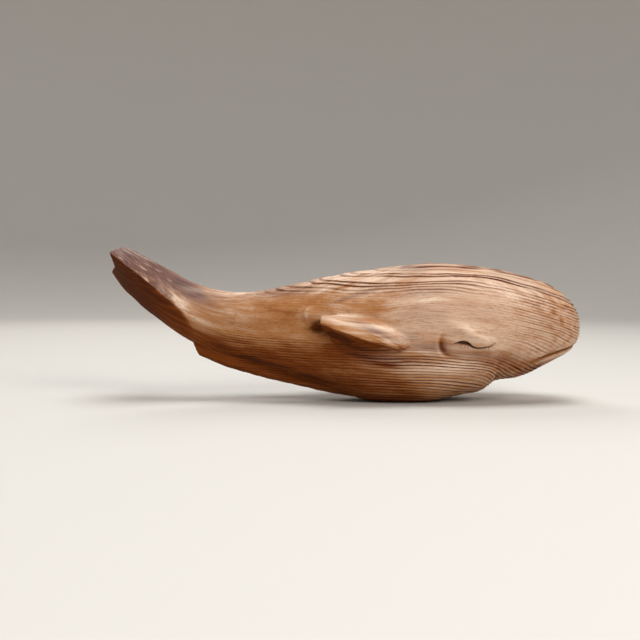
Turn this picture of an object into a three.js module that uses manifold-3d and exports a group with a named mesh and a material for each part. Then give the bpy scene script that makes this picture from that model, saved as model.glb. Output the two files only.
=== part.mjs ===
// A whale carved from one block of softwood, lying on its belly with the tail raised.
// X runs from the flukes to the snout, Y across, Z up, in millimetres. The origin is on the
// ground below the middle of its length. The near side, which carries the same carving as
// the far side, faces -Y.

import * as THREE from "three";
import { LoftGeometry } from "three/addons/geometries/LoftGeometry.js";
import { mergeVertices } from "three/addons/utils/BufferGeometryUtils.js";
import Module from "manifold-3d";

const wasm = await Module();
wasm.setup();

// Stations of the body, like the frames of a hull, from the flukes to the snout. Each has
// the top of the back and the bottom of the belly as [x, z], the half width, the height of
// the widest place as a share of the depth, and how square the section is above and below
// it: 1 gives straight sides down to an edge, 2 an ellipse, more a fuller curve.
const stations = [
  { at: "fluke end", back: [-126.7, 88.6], belly: [-133.0, 73.7], half: 28.5, widest: 0.73, above: 1.5, below: 1.15 },
  { at: "fluke tips", back: [-116.9, 84.3], belly: [-126.9, 64.5], half: 27.5, widest: 0.67, above: 1.3, below: 1.1 },
  { at: "fluke middle", back: [-105.6, 78.4], belly: [-118.9, 56.8], half: 23.5, widest: 0.61, above: 1.3, below: 1.15 },
  { at: "fluke root", back: [-94.2, 71.8], belly: [-107.5, 47.3], half: 18.0, widest: 0.52, above: 1.5, below: 1.3 },
  { at: "tail stock", back: [-82.7, 66.3], belly: [-93.2, 37.1], half: 14.0, widest: 0.48, above: 1.9, below: 1.7 },
  { at: "waist", back: [-70.1, 62.8], belly: [-78.3, 29.6], half: 13.6, widest: 0.48, above: 2.3, below: 2.1 },
  { at: "rump", back: [-54.0, 62.2], belly: [-59.9, 23.8], half: 16.4, widest: 0.5, above: 2.3, below: 2.2 },
  { at: "loin", back: [-34.0, 65.5], belly: [-37.0, 16.4], half: 20.6, widest: 0.49, above: 2.25, below: 2.2 },
  { at: "fin tips", back: [-11.0, 70.5], belly: [-11.0, 8.6], half: 25.4, widest: 0.47, above: 2.15, below: 2.2 },
  { at: "fin middle", back: [12.0, 74.6], belly: [12.0, 0.8], half: 29.4, widest: 0.46, above: 2.1, below: 2.25 },
  { at: "fin roots", back: [32.0, 77.2], belly: [32.0, -0.9], half: 32.2, widest: 0.46, above: 2.1, below: 2.3 },
  { at: "shoulder", back: [50.0, 78.3], belly: [50.0, 0.0], half: 33.7, widest: 0.46, above: 2.1, below: 2.25 },
  { at: "cheek", back: [66.5, 77.7], belly: [66.5, 3.6], half: 34.0, widest: 0.46, above: 2.1, below: 2.15 },
  { at: "throat", back: [78.5, 76.4], belly: [79.0, 6.4], half: 33.4, widest: 0.46, above: 2.1, below: 2.1 },
  { at: "throat fold", back: [88.0, 74.9], belly: [86.8, 11.5], half: 32.2, widest: 0.45, above: 2.1, below: 2.05 },
  { at: "chin", back: [101.0, 72.0], belly: [99.7, 13.6], half: 29.6, widest: 0.47, above: 2.1, below: 2.0 },
  { at: "jaw", back: [112.3, 68.4], belly: [111.3, 19.0], half: 26.2, widest: 0.48, above: 2.1, below: 2.0 },
  { at: "lip", back: [121.4, 63.9], belly: [120.2, 23.5], half: 22.2, widest: 0.48, above: 2.1, below: 2.0 },
  { at: "upper snout", back: [128.0, 58.4], belly: [126.6, 26.9], half: 17.6, widest: 0.49, above: 2.1, below: 2.0 },
  { at: "snout", back: [132.2, 52.8], belly: [131.0, 31.0], half: 12.2, widest: 0.49, above: 2.0, below: 2.0 },
  { at: "snout face", back: [133.8, 47.8], belly: [133.2, 35.8], half: 6.6, widest: 0.5, above: 2.0, below: 2.0 },
  { at: "snout tip", back: [134.3, 41.6], belly: [134.3, 41.6], half: 0.0, widest: 0.5, above: 2.0, below: 2.0 },
];

// Facets of the body: points around a section, and sections between two stations
const pointsAround = 48;
const sectionsPerStation = [3, 3, 3, 3, 2, 2, 2, 3, 3, 3, 2, 2, 2, 3, 3, 3, 3, 3, 3, 3, 3];
const lastSection = 0.12;

// Flukes: the hollow between the middle and each tip of the trailing edge, and the groove
// on either side of the spine ridge that runs up the tail
const flukePitch = THREE.MathUtils.degToRad(41);
const flukeLength = 30;
const lobeHollow = 2.2;
const tipSetBack = 0.8;
const spineRuns = [0, 25, 68, 110];
const spineHalfWidth = [16.0, 15.5, 7.5, 12.0];
const spineGrooveDepth = 1.6;
const spineGrooveWidth = 2.8;
const spineStart = [0, 14];
const spineFade = [60, 125];

// Brow: a low swelling over each eye, as a centre [x, z], its reach and its height
const brow = { at: [68.5, 40.2], reach: [11.0, 3.6], tilt: -0.32, height: 1.5 };

// Keel under the rear belly, with its blunt rear end
const keelTop = [[-87.0, 36.0], [-70.0, 33.0], [-45.0, 24.0], [-20.0, 17.0], [0.0, 11.0], [14.0, 7.0]];
const keelFoot = [[-82.7, 25.7], [-66.0, 18.9], [-43.8, 12.7], [-20.0, 7.1], [-2.3, 3.4], [12.0, 1.4]];
const keelHalfWidth = [5.0, 6.2, 7.0, 7.2, 6.4, 4.0];

// Side fins, as sections from the front of the root to the tip, each [x, y, z] on the far
// side: where the lit top leaves the body, the outer edge, where the underside comes back to
// the body, and a point inside that closes the section
const finSections = [
  { top: [35.4, 31.6, 35.6], edge: [34.6, 32.6, 33.4], under: [33.2, 31.4, 31.0], inside: [33.6, 28.0, 33.4] },
  { top: [31.0, 31.4, 38.4], edge: [30.4, 35.2, 31.2], under: [28.6, 30.8, 27.6], inside: [29.4, 25.0, 33.0] },
  { top: [21.0, 29.2, 44.4], edge: [20.5, 37.0, 34.3], under: [20.0, 29.2, 26.6], inside: [20.0, 23.0, 36.0] },
  { top: [8.0, 26.6, 48.0], edge: [8.5, 37.4, 37.1], under: [7.3, 27.2, 28.2], inside: [8.0, 20.0, 38.5] },
  { top: [-2.5, 25.0, 49.6], edge: [-2.4, 36.4, 39.8], under: [-2.0, 26.4, 32.0], inside: [-2.0, 20.5, 41.5] },
  { top: [-13.4, 28.0, 49.8], edge: [-13.8, 34.8, 44.4], under: [-13.4, 31.0, 42.0], inside: [-13.0, 27.4, 46.4] },
];
const finTopBulge = 1.4;
const finUnderHollow = 1.6;

// Hollow carved under and behind each fin tip, and the rim left standing behind it
const hollow = { at: [-13.2, 30.0, 41.6], radii: [8.6, 7.2, 4.3] };
const rim = { at: [-20.0, 50.6], reach: [4.6, 3.4], height: 1.3 };

// Closed eyes: an arched lid at the rear and a smiling line in front, as [x, z] on the side
const eyeLine = [[57.7, 35.9], [60.4, 35.7], [63.0, 36.2], [65.6, 35.5], [68.4, 33.4], [72.0, 32.3], [76.6, 32.7], [81.3, 35.0]];
const eyeWidth = [0.6, 1.7, 2.2, 2.0, 1.4, 1.0, 1.0, 0.5];
const eyeDepth = 1.9;

// Crease behind each eye
const creaseLine = [[53.4, 40.4], [51.7, 35.6], [52.4, 31.2], [55.2, 28.4], [61.0, 27.3]];
const creaseWidth = [0.8, 3.0, 3.6, 2.8, 1.0];
const creaseDepth = 1.3;

// Mouth: one groove round the snout, on a plane that rises towards the front
const mouthCorner = [102.0, 23.6];
const mouthFront = [131.6, 32.3];
const mouthWidth = [0.8, 2.2];
const mouthDepth = 1.6;

// Fold across the underside where the throat meets the jaw: its place, reach and size
const foldRun = 0.3;
const foldReach = THREE.MathUtils.degToRad(50);
const foldWidth = 1.8;
const foldDepth = 1.0;

// Wood, as it shows in the raw solid
const wood = new THREE.MeshStandardMaterial({ name: "oiled softwood", color: 0xa06a43, roughness: 0.5, metalness: 0 });

// A curve through values at knots, as a function of the knot coordinate
function curveThrough(knots, values) {
  const last = knots.length - 1;
  const slopes = [];
  for (let i = 0; i < last; i += 1) {
    slopes.push((values[i + 1] - values[i]) / (knots[i + 1] - knots[i]));
  }
  const tangents = knots.map((_, i) => {
    if (i === 0) return slopes[0];
    if (i === last) return slopes[last - 1];
    const before = knots[i] - knots[i - 1];
    const after = knots[i + 1] - knots[i];
    return (slopes[i - 1] * after + slopes[i] * before) / (before + after);
  });
  return (knot) => {
    let i = 0;
    while (i < last - 1 && knot > knots[i + 1]) i += 1;
    const span = knots[i + 1] - knots[i];
    const f = (knot - knots[i]) / span;
    const rest = 1 - f;
    const start = rest * rest * (1 + 2 * f) * values[i] + rest * rest * f * span * tangents[i];
    const end = f * f * (3 - 2 * f) * values[i + 1] - f * f * rest * span * tangents[i + 1];
    return start + end;
  };
}

// Running length along the body, the mean of the back's and the belly's
const knots = [0];
for (let i = 1; i < stations.length; i += 1) {
  const [a, b] = [stations[i - 1], stations[i]];
  const back = Math.hypot(b.back[0] - a.back[0], b.back[1] - a.back[1]);
  const belly = Math.hypot(b.belly[0] - a.belly[0], b.belly[1] - a.belly[1]);
  knots.push(knots[i - 1] + (back + belly) / 2);
}
const bodyLength = knots[knots.length - 1];

const through = (value) => curveThrough(knots, stations.map(value));
const backX = through((s) => s.back[0]);
const backZ = through((s) => s.back[1]);
const bellyX = through((s) => s.belly[0]);
const bellyZ = through((s) => s.belly[1]);
const halfWidth = through((s) => s.half);
const widest = through((s) => s.widest);
const above = through((s) => s.above);
const below = through((s) => s.below);

const fade = (from, to, value) => THREE.MathUtils.smoothstep(value, from, to);
const bell = (distance) => Math.exp(-distance * distance);

// Set-back of the trailing edge, from the middle of the tail to a fluke's tip
function trailingEdge(run, share) {
  const atEnd = 1 - fade(0, flukeLength, run);
  return atEnd * (lobeHollow * Math.sin(Math.PI * Math.pow(share, 0.9)) + tipSetBack * share);
}

// Depth of the grooves that leave the spine ridge standing on the tail's top
const ridgeHalf = curveThrough(spineRuns, spineHalfWidth);
function spineGroove(run, y) {
  const strength = fade(spineStart[0], spineStart[1], run) * (1 - fade(spineFade[0], spineFade[1], run));
  if (strength === 0) return 0;
  return strength * spineGrooveDepth * bell((Math.abs(y) - ridgeHalf(run)) / spineGrooveWidth);
}

// Low swellings on the sides: the brow over each eye and the rim behind each fin tip
function swelling(x, z) {
  const dx = x - brow.at[0];
  const dz = z - brow.at[1] - brow.tilt * dx;
  const browHeight = brow.height * bell(Math.hypot(dx / brow.reach[0], dz / brow.reach[1]));
  const rimDistance = Math.hypot((x - rim.at[0]) / rim.reach[0], (z - rim.at[1]) / rim.reach[1]);
  return browHeight + rim.height * bell(rimDistance);
}

// A point of the body's skin: run is the length from the fluke end, angle goes from the
// far side over the back to the near side
function skin(run, angle) {
  const c = Math.cos(angle);
  const s = Math.sin(angle);
  const power = 2 / (s >= 0 ? above(run) : below(run));
  const share = Math.pow(Math.abs(c), power);
  const reach = Math.pow(Math.abs(s), power);
  const level = widest(run);
  const up = s >= 0 ? level + (1 - level) * reach : level * (1 - reach);
  const across = halfWidth(run) * share;
  const point = new THREE.Vector3(
    THREE.MathUtils.lerp(bellyX(run), backX(run), up),
    Math.sign(c) * across,
    THREE.MathUtils.lerp(bellyZ(run), backZ(run), up),
  );
  const setBack = trailingEdge(run, share);
  point.x += setBack * Math.cos(flukePitch);
  point.z -= setBack * Math.sin(flukePitch);
  if (s > 0) point.z -= spineGroove(run, across) * Math.min(1, 3 * reach);
  point.y += Math.sign(c) * swelling(point.x, point.z) * share;
  return point;
}

function bodySections() {
  const runs = [];
  sectionsPerStation.forEach((count, i) => {
    const end = i === knots.length - 2 ? knots[i + 1] - lastSection * (knots[i + 1] - knots[i]) : knots[i + 1];
    for (let k = 0; k < count; k += 1) {
      runs.push(THREE.MathUtils.lerp(knots[i], end, k / count));
    }
    if (i === knots.length - 2) runs.push(end);
  });
  return runs.map((run) => {
    const section = [];
    for (let k = 0; k < pointsAround; k += 1) {
      section.push(skin(run, (2 * Math.PI * k) / pointsAround));
    }
    return section;
  });
}

// Half width of the body at a place seen from the side
function sideAt(x, z) {
  let low = 0;
  let high = bodyLength;
  for (let step = 0; step < 40; step += 1) {
    const run = (low + high) / 2;
    const turn = (backX(run) - bellyX(run)) * (z - bellyZ(run)) - (backZ(run) - bellyZ(run)) * (x - bellyX(run));
    if (turn < 0) low = run;
    else high = run;
  }
  const run = (low + high) / 2;
  const up = (z - bellyZ(run)) / (backZ(run) - bellyZ(run));
  const level = widest(run);
  const power = up >= level ? above(run) : below(run);
  const reach = up >= level ? (up - level) / (1 - level) : (level - up) / level;
  const share = Math.pow(Math.max(0, 1 - Math.pow(reach, power)), 1 / power);
  return (halfWidth(run) + swelling(x, z)) * share;
}

function solidOf(geometry) {
  const bare = new THREE.BufferGeometry();
  bare.setAttribute("position", geometry.attributes.position);
  bare.setIndex(geometry.index);
  const merged = mergeVertices(bare, 1e-4);
  const mesh = new wasm.Mesh({
    numProp: 3,
    vertProperties: new Float32Array(merged.attributes.position.array),
    triVerts: new Uint32Array(merged.index.array),
  });
  return new wasm.Manifold(mesh);
}

function geometryOf(solid) {
  const mesh = solid.getMesh();
  const geometry = new THREE.BufferGeometry();
  geometry.setAttribute("position", new THREE.BufferAttribute(new Float32Array(mesh.vertProperties), 3));
  geometry.setIndex(new THREE.BufferAttribute(new Uint32Array(mesh.triVerts), 1));
  geometry.computeVertexNormals();
  return geometry;
}

const loft = (sections) => solidOf(new LoftGeometry(sections, { closed: true, capStart: true, capEnd: true }));

// A solid for the other side of the whale
function mirrored(sections) {
  return sections.map((section) => section.map((p) => new THREE.Vector3(p.x, -p.y, p.z)).reverse());
}

function keel() {
  const steps = 16;
  const around = 14;
  const places = keelTop.map((_, i) => i / (keelTop.length - 1));
  const topX = curveThrough(places, keelTop.map((p) => p[0]));
  const topZ = curveThrough(places, keelTop.map((p) => p[1]));
  const footX = curveThrough(places, keelFoot.map((p) => p[0]));
  const footZ = curveThrough(places, keelFoot.map((p) => p[1]));
  const half = curveThrough(places, keelHalfWidth);
  const sections = [];
  for (let i = 0; i <= steps; i += 1) {
    const place = i / steps;
    const section = [];
    for (let k = 0; k < around; k += 1) {
      const angle = (2 * Math.PI * k) / around;
      const up = (1 + Math.sign(Math.sin(angle)) * Math.pow(Math.abs(Math.sin(angle)), 0.8)) / 2;
      const y = half(place) * Math.sign(Math.cos(angle)) * Math.pow(Math.abs(Math.cos(angle)), 0.7);
      const x = THREE.MathUtils.lerp(footX(place), topX(place), up);
      section.push(new THREE.Vector3(x, y, THREE.MathUtils.lerp(footZ(place), topZ(place), up)));
    }
    sections.push(section);
  }
  return loft(sections);
}

// The far side's fin, lofted through its sections
function finLoft() {
  const steps = 12;
  const across = 5;
  const places = finSections.map((_, i) => i / (finSections.length - 1));
  const guide = (name) => {
    const axes = [0, 1, 2].map((axis) => curveThrough(places, finSections.map((f) => f[name][axis])));
    return (place) => new THREE.Vector3(...axes.map((curve) => curve(place)));
  };
  const [top, edge, under, inside] = ["top", "edge", "under", "inside"].map(guide);
  const sections = [];
  for (let i = 0; i <= steps; i += 1) {
    const place = i / steps;
    const [a, b, c] = [top(place), edge(place), under(place)];
    const size = Math.min(1, a.distanceTo(b) / 8);
    const section = [inside(place)];
    for (let k = 0; k < across; k += 1) {
      const f = k / across;
      const bow = 4 * f * (1 - f);
      section.push(c.clone().lerp(b, f).add(new THREE.Vector3(0, -bow, bow).multiplyScalar(finUnderHollow * size)));
    }
    section.push(b.clone().lerp(c, 0.04));
    for (let k = 0; k <= across; k += 1) {
      const f = k / across;
      const bow = 4 * f * (1 - f);
      section.push(b.clone().lerp(a, f).add(new THREE.Vector3(0, bow, bow).multiplyScalar(finTopBulge * size)));
    }
    sections.push(section.reverse());
  }
  return sections;
}

// A carved line: a V-shaped groove along points on the skin, each with its outward direction
function grooveSections(points, outwards, widths, depth) {
  const proud = 2;
  return points.map((point, i) => {
    const before = points[Math.max(0, i - 1)];
    const after = points[Math.min(points.length - 1, i + 1)];
    const along = new THREE.Vector3().subVectors(after, before).normalize();
    const out = outwards[i];
    const across = new THREE.Vector3().crossVectors(out, along).normalize();
    const half = widths[i] / 2;
    const mouthHalf = half * (1 + proud / depth);
    return [
      point.clone().addScaledVector(out, proud).addScaledVector(across, -mouthHalf),
      point.clone().addScaledVector(out, -depth).addScaledVector(across, -half * 0.15),
      point.clone().addScaledVector(out, -depth).addScaledVector(across, half * 0.15),
      point.clone().addScaledVector(out, proud).addScaledVector(across, mouthHalf),
    ];
  });
}

// A line carved in one side of the head, from its points as seen from that side
function sideGroove(line, widths, depth, side) {
  const steps = 3 * (line.length - 1);
  const places = line.map((_, i) => i / (line.length - 1));
  const xAt = curveThrough(places, line.map((p) => p[0]));
  const zAt = curveThrough(places, line.map((p) => p[1]));
  const widthAt = curveThrough(places, widths);
  const points = [];
  const outwards = [];
  const sizes = [];
  for (let i = 0; i <= steps; i += 1) {
    const [x, z] = [xAt(i / steps), zAt(i / steps)];
    points.push(new THREE.Vector3(x, side * sideAt(x, z), z));
    outwards.push(new THREE.Vector3(0, side, 0));
    sizes.push(widthAt(i / steps));
  }
  return loft(grooveSections(points, outwards, sizes, depth));
}

// The mouth runs from the near corner round the snout to the far corner
function mouthGroove() {
  const steps = 28;
  const [reach, rise] = [mouthFront[0] - mouthCorner[0], mouthFront[1] - mouthCorner[1]];
  const up = new THREE.Vector3(-rise, 0, reach).normalize();
  const points = [];
  for (let i = 0; i <= steps; i += 1) {
    const turn = Math.PI * (i / steps - 0.5);
    const x = mouthCorner[0] + reach * Math.cos(turn);
    const z = mouthCorner[1] + rise * Math.cos(turn);
    points.push(new THREE.Vector3(x, Math.sign(turn) * sideAt(x, z), z));
  }
  const outwards = points.map((_, i) => {
    const along = new THREE.Vector3().subVectors(points[Math.min(steps, i + 1)], points[Math.max(0, i - 1)]);
    return along.cross(up).normalize();
  });
  const widths = points.map((_, i) => THREE.MathUtils.lerp(mouthWidth[0], mouthWidth[1], Math.sin((Math.PI * i) / steps)));
  return loft(grooveSections(points, outwards, widths, mouthDepth));
}

// The fold under the throat, across the belly from side to side
function throatFold() {
  const steps = 10;
  const station = stations.findIndex((s) => s.at === "throat fold");
  const run = THREE.MathUtils.lerp(knots[station], knots[station + 1], foldRun);
  const points = [];
  const outwards = [];
  const widths = [];
  for (let i = 0; i <= steps; i += 1) {
    const turn = foldReach * (1 - (2 * i) / steps);
    points.push(skin(run, -Math.PI / 2 - turn));
    outwards.push(new THREE.Vector3(0, -Math.sin(turn), -Math.cos(turn)));
    widths.push(foldWidth * (0.35 + 0.65 * Math.cos((Math.PI / 2) * (turn / foldReach))));
  }
  return loft(grooveSections(points, outwards, widths, foldDepth));
}

function hollowBall(side) {
  const ball = new THREE.SphereGeometry(1, 18, 12);
  ball.scale(...hollow.radii);
  ball.translate(hollow.at[0], side * hollow.at[1], hollow.at[2]);
  return solidOf(ball);
}

function whale() {
  const fin = finLoft();
  let body = loft(bodySections()).add(keel());
  for (const side of [-1, 1]) {
    body = body.add(loft(side > 0 ? fin : mirrored(fin)));
    body = body.subtract(hollowBall(side));
    body = body.subtract(sideGroove(eyeLine, eyeWidth, eyeDepth, side));
    body = body.subtract(sideGroove(creaseLine, creaseWidth, creaseDepth, side));
  }
  body = body.subtract(mouthGroove()).subtract(throatFold());
  const ground = new THREE.BoxGeometry(300, 100, 20);
  ground.translate(0, 0, -10);
  const geometry = geometryOf(body.subtract(solidOf(ground)));
  geometry.computeBoundingBox();
  const { min, max } = geometry.boundingBox;
  geometry.translate(-(min.x + max.x) / 2, 0, 0);
  return geometry;
}

const carving = new THREE.Mesh(whale(), wood);
carving.name = "whale_carving";

const group = new THREE.Group();
group.name = "whale";
group.add(carving);

export default group;
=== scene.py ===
# A whale carved from one block of softwood, as one finely cut mesh in place of the CAD solid.
# The body, keel and fins are built from the same stations as the solid, joined and hollowed,
# and then carved by moving the surface: eyes, mouth, folds, knife marks and the growth rings
# that stand proud of the worn wood between them. Shapes are in millimetres in the maker's
# frame, X from the flukes to the snout and Z up from the ground; Blender's are in metres.

import math

import bmesh
import bpy
import numpy as np
from mathutils import Euler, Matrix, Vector


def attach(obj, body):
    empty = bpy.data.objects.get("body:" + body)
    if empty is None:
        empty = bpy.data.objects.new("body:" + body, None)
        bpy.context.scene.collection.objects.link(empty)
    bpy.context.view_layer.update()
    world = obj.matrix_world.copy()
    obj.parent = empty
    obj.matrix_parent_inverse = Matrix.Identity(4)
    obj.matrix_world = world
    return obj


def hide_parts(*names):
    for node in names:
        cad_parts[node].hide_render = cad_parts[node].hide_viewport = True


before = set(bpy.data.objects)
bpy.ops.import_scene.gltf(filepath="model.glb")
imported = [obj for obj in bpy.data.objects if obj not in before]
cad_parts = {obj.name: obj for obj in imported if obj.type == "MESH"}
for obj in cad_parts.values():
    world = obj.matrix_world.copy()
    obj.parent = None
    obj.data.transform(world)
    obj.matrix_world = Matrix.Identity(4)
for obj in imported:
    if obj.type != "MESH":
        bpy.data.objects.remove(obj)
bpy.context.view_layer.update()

MM = 0.001

# Stations of the body from the flukes to the snout: back [x, z], belly [x, z], half width,
# height of the widest place as a share of the depth, and squareness above and below it, where
# 2 is an ellipse, more is squarer and less is sharper
STATIONS = [
    ((-126.7, 88.6), (-133.0, 73.7), 28.5, 0.73, 1.5, 1.15),
    ((-116.9, 84.3), (-126.9, 64.5), 27.5, 0.67, 1.3, 1.1),
    ((-105.6, 78.4), (-118.9, 56.8), 23.5, 0.61, 1.3, 1.15),
    ((-94.2, 71.8), (-107.5, 47.3), 18.0, 0.52, 1.5, 1.3),
    ((-82.7, 66.3), (-93.2, 37.1), 14.0, 0.48, 1.9, 1.7),
    ((-70.1, 62.8), (-78.3, 29.6), 13.6, 0.48, 2.3, 2.1),
    ((-54.0, 62.2), (-59.9, 23.8), 16.4, 0.5, 2.3, 2.2),
    ((-34.0, 65.5), (-37.0, 16.4), 20.6, 0.49, 2.25, 2.2),
    ((-11.0, 70.5), (-11.0, 8.6), 25.4, 0.47, 2.15, 2.2),
    ((12.0, 74.6), (12.0, 0.8), 29.4, 0.46, 2.1, 2.25),
    ((32.0, 77.2), (32.0, -0.9), 32.2, 0.46, 2.1, 2.3),
    ((50.0, 78.3), (50.0, 0.0), 33.7, 0.46, 2.1, 2.25),
    ((66.5, 77.7), (66.5, 3.6), 34.0, 0.46, 2.1, 2.15),
    ((78.0, 76.5), (78.2, 6.0), 33.5, 0.46, 2.1, 2.1),
    ((86.0, 75.2), (84.6, 10.9), 32.5, 0.45, 2.1, 2.05),
    ((101.0, 72.0), (99.7, 13.6), 29.6, 0.47, 2.1, 2.0),
    ((112.3, 68.4), (111.3, 19.0), 26.2, 0.48, 2.1, 2.0),
    ((121.4, 63.9), (120.2, 23.5), 22.2, 0.48, 2.1, 2.0),
    ((128.0, 58.4), (126.6, 26.9), 17.6, 0.49, 2.1, 2.0),
    ((132.2, 52.8), (131.0, 31.0), 12.2, 0.49, 2.0, 2.0),
    ((133.8, 47.8), (133.2, 35.8), 6.6, 0.5, 2.0, 2.0),
    ((134.3, 41.6), (134.3, 41.6), 0.0, 0.5, 2.0, 2.0),
]
THROAT_FOLD = 14.0  # place of the fold under the throat, in stations
THROAT_FOLD_DEPTH = 1.2

# Flukes: pitch and length, hollow of the trailing edge above and below the widest place, and
# set-back of the tips
FLUKE_PITCH = math.radians(41)
FLUKE_LENGTH = 30
LOBE_HOLLOW = (0.2, 3.2)
TIP_SET_BACK = 0.8

# Groove on either side of the spine ridge that runs up the tail: its distance from the middle
# by running length, and the runs over which it starts and fades
SPINE_RUNS = (0, 25, 68, 110)
SPINE_HALF_WIDTH = (16.0, 15.5, 7.5, 12.0)
SPINE_GROOVE_DEPTH = 1.6
SPINE_GROOVE_WIDTH = 2.8
SPINE_START = (0, 14)
SPINE_FADE = (60, 125)

# Low swellings on the sides: place [x, z], reach, tilt and height
BROW = ((68.5, 40.0), (11.0, 3.8), -0.34, 2.0)
RIM = ((-20.0, 50.6), (4.6, 3.2), 0.0, 1.9)

# Keel under the rear belly, with its blunt rear end, from the rear: top and foot [x, z]
KEEL_TOP = ((-87.0, 36.0), (-70.0, 33.0), (-45.0, 24.0), (-20.0, 17.0), (0.0, 11.0), (14.0, 7.0))
KEEL_FOOT = ((-82.7, 25.7), (-66.0, 18.9), (-43.8, 12.7), (-20.0, 7.1), (-2.3, 3.4), (12.0, 1.4))
KEEL_HALF_WIDTH = (5.0, 6.2, 7.0, 7.2, 6.4, 4.0)

# Side fin on the far side, from the front of its root to its tip: where the top leaves the
# body, the outer edge, where the underside comes back to the body, and a point inside
FIN_TOP = (
    (35.4, 31.6, 35.6), (31.0, 31.4, 39.2), (21.0, 29.2, 45.6),
    (8.0, 26.6, 49.0), (-2.5, 25.0, 50.0), (-13.4, 28.0, 49.8),
)
FIN_EDGE = (
    (34.6, 32.6, 33.4), (30.4, 35.2, 31.2), (20.5, 37.0, 34.3),
    (8.5, 37.4, 37.1), (-2.4, 36.4, 41.2), (-13.8, 34.8, 44.4),
)
FIN_UNDER = (
    (33.2, 31.4, 31.0), (28.6, 30.8, 27.6), (20.0, 29.2, 26.6),
    (7.3, 27.2, 28.2), (-2.0, 26.4, 32.0), (-13.4, 31.0, 42.0),
)
FIN_INSIDE = (
    (33.6, 28.0, 33.4), (29.4, 25.0, 33.0), (20.0, 23.0, 36.0),
    (8.0, 20.0, 38.5), (-2.0, 20.5, 41.5), (-13.0, 27.4, 46.4),
)
FIN_TOP_BULGE = 1.4
FIN_UNDER_HOLLOW = 1.6

# Hollow cut behind each fin's tip, and the places on it and on the fin that get painted shade in the
# hollow, splinters, and painted shade under the fin: each [x, z], its reach and its tilt
HOLLOW_AT = (-13.6, 28.0, 42.6)
HOLLOW_RADII = (8.4, 7.4, 4.4)
SCOOP_SHADE = ((-16.0, 43.8), (5.5, 2.6), 0.0)
SPLINTERED = ((26.0, 33.6), (11.0, 2.6), -0.45)
FIN_UNDER_SHADE = ((9.0, 32.3), (27.0, 9.0), -0.3)

# Closed eye: an open slit under the arched lid, then a thin line that smiles
SLIT_TOP = (
    (58.4, 34.8), (59.6, 35.3), (61.1, 36.0), (62.7, 36.4), (64.2, 36.4), (65.7, 35.9), (67.4, 34.5),
)
SLIT_FOOT = (
    (58.2, 34.6), (59.8, 34.7), (61.4, 34.5), (63.0, 34.2), (64.8, 33.9), (66.2, 33.8), (67.4, 33.8),
)
SLIT_DEPTH = 2.4
SMILE = (
    (66.6, 34.5), (68.2, 33.1), (70.1, 32.4), (72.5, 32.2), (74.9, 32.4), (77.1, 32.9), (79.0, 33.6),
    (81.0, 34.9),
)
SMILE_WIDTH = (1.2, 1.35, 1.3, 1.25, 1.15, 1.0, 0.75, 0.3)
SMILE_DEPTH = 1.2
LID = (
    (56.5, 34.2), (60.0, 35.4), (63.5, 36.2), (66.6, 34.9), (70.0, 32.5), (75.0, 32.4), (81.5, 35.2),
)

# Short strokes that hang from the eye's line: top [x, z], length and strength
STROKES = (
    ((62.3, 34.1), 1.3, 0.7), ((64.6, 33.7), 2.0, 0.6), ((66.4, 34.0), 2.2, 1.1),
    ((75.2, 32.2), 1.2, 0.8), ((77.5, 32.8), 1.7, 1.1), ((78.9, 33.3), 1.1, 0.7),
)
STROKE_WIDTH = 0.3
STROKE_DEPTH = 0.35
STROKE_LEAN = 0.25

# Where the eye's carving reaches, and where the mesh is twice as fine for it: ranges of x and
# z, and least distance from the middle
EYE_AREA = ((46, 90), (20, 52), 15)
FINE_AREA = ((50, 83), (26, 42), 20)

# Groove over the front of the brow, and the crease that hooks round behind the eye, with the
# cheek sunk inside it
BROW_LINE = ((66.2, 44.0), (71.0, 40.9), (74.2, 39.5), (81.0, 38.7))
BROW_LINE_DEPTH = 0.7
CREASE = (
    (52.9, 40.6), (51.5, 37.0), (51.4, 33.6), (52.5, 30.7), (54.8, 28.7), (59.5, 27.6), (66.0, 27.3),
    (73.0, 27.8),
)
CREASE_DEPTH = (0.2, 0.9, 1.5, 1.6, 1.35, 0.8, 0.3, 0.0)

# Edge of the knob behind the fin tip, and the seam where the keel leaves the body
KNOB = ((-17.0, 54.4), (-20.6, 53.6), (-22.3, 51.0), (-22.0, 47.8), (-20.4, 45.2))
KNOB_EDGE_HEIGHT = 0.38
KNOB_GROOVE_DEPTH = 0.35
SEAM = (
    (-80.0, 38.5), (-66.0, 30.0), (-54.0, 25.2), (-38.0, 21.2), (-19.0, 14.4), (-8.0, 11.2), (10.0, 7.6),
)

# Mouth: one groove round the snout, on a plane that rises towards the front; its depth at the
# corner and in front, and the lip left standing below it
MOUTH_CORNER = (101.0, 23.3)
MOUTH_FRONT = (131.6, 32.3)
MOUTH_DEPTH = (0.9, 0.6)
LIP_HEIGHT = 0.3

# End grain on the snout: place [x, z], reach and tilt, and the depth of its pits
END_GRAIN = ((119.0, 52.0), (10.0, 10.0), 0.0)
END_GRAIN_DEPTH = 0.2

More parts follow.
